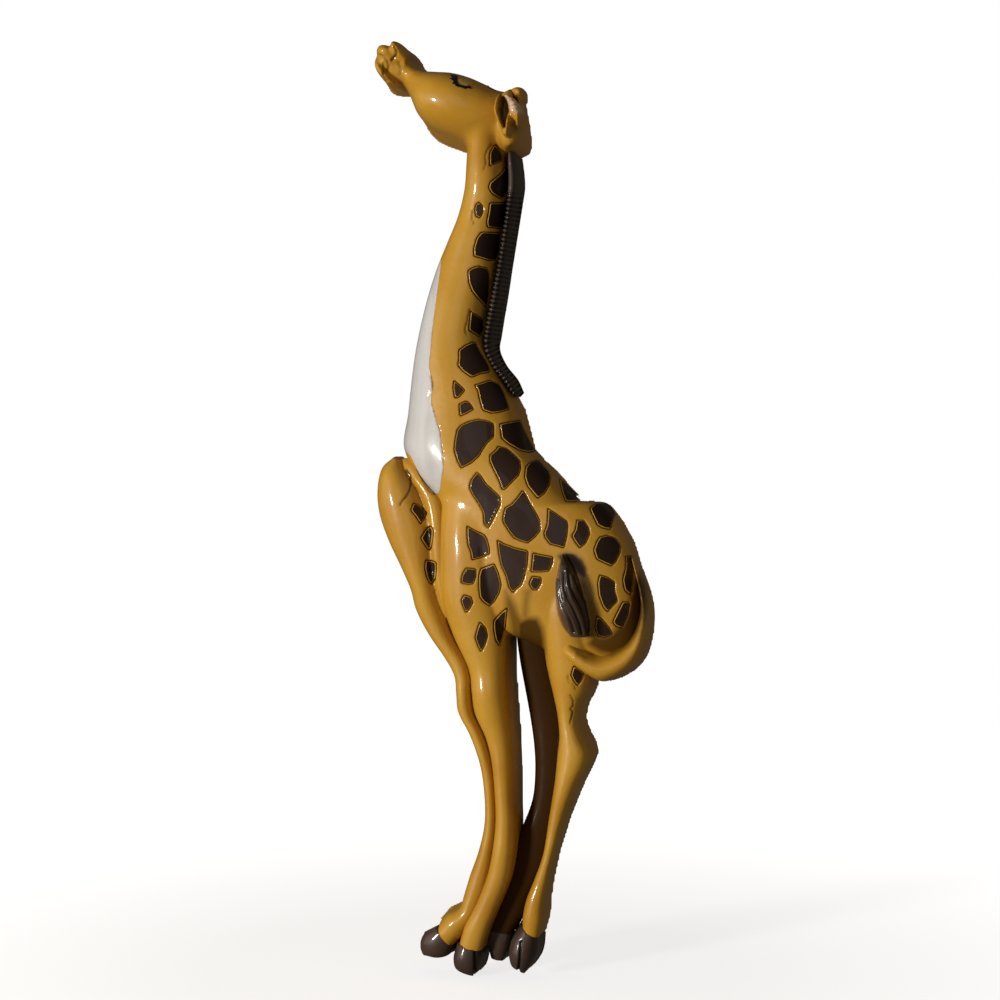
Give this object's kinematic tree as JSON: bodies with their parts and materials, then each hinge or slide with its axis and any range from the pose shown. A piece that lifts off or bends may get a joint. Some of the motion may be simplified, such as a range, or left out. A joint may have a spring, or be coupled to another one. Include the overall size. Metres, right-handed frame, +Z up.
{
  "type": "giraffe wall figure",
  "caption": "Tall giraffe with its nose in the air, a hollow-backed half-relief figure in glossy painted plastic, hung from a keyhole at the back of its shoulders.",
  "frame": {"origin": "where the nail head bears, at the top of the keyhole slot, on the wall plane", "axes": "+Y into the wall, -Y towards the viewer, +X to the viewer's right, +Z up along the figure"},
  "size_m": [0.1268, 0.0501, 0.424],
  "materials": {
    "mustard_enamel": "glossy mustard enamel on moulded plastic",
    "spot_brown": "glossy dark brown paint in engraved outlines",
    "bib_white": "glossy off-white paint",
    "mane_brown": "glossy very dark brown paint",
    "tuft_brown": "glossy dark brown paint",
    "hoof_brown": "glossy brown paint",
    "lash_black": "black paint line"
  },
  "bodies": {
    "root": {"body_shell": "mustard_enamel", "chest_bib": "bib_white", "far_ear": "mustard_enamel", "far_fore_hoof": "hoof_brown", "far_foreleg": "mustard_enamel", "far_foreleg_spot_1": "spot_brown", "far_foreleg_spot_2": "spot_brown", "far_foreleg_spot_3": "spot_brown", "far_hind_hoof": "hoof_brown", "far_hindleg": "mustard_enamel", "far_lashes": "lash_black", "flank_spot_1": "spot_brown", "flank_spot_2": "spot_brown", "flank_spot_3": "spot_brown", "flank_spot_4": "spot_brown", "flank_spot_5": "spot_brown", "flank_spot_6": "spot_brown", "flank_spot_7": "spot_brown", "flank_spot_8": "spot_brown", "flank_spot_9": "spot_brown", "mane": "mane_brown", "near_ear": "mustard_enamel", "near_fore_hoof": "hoof_brown", "near_foreleg_spot_1": "spot_brown", "near_foreleg_spot_2": "spot_brown", "near_foreleg_spot_3": "spot_brown", "near_foreleg_spot_4": "spot_brown", "near_foreleg_spot_5": "spot_brown", "near_hind_hoof": "hoof_brown", "near_hindleg_spot_1": "spot_brown", "near_lashes": "lash_black", "neck_spot_1": "spot_brown", "neck_spot_2": "spot_brown", "neck_spot_3": "spot_brown", "neck_spot_4": "spot_brown", "neck_spot_5": "spot_brown", "neck_spot_6": "spot_brown", "neck_spot_7": "spot_brown", "rump_spot_1": "spot_brown", "rump_spot_2": "spot_brown", "rump_spot_3": "spot_brown", "rump_spot_4": "spot_brown", "rump_spot_5": "spot_brown", "rump_spot_6": "spot_brown", "rump_spot_7": "spot_brown", "rump_spot_8": "spot_brown", "shoulder_spot_1": "spot_brown", "shoulder_spot_2": "spot_brown", "shoulder_spot_3": "spot_brown", "shoulder_spot_4": "spot_brown", "shoulder_spot_5": "spot_brown", "shoulder_spot_6": "spot_brown", "tail": "mustard_enamel", "tail_tuft": "tuft_brown"}
  },
  "joints": []
}
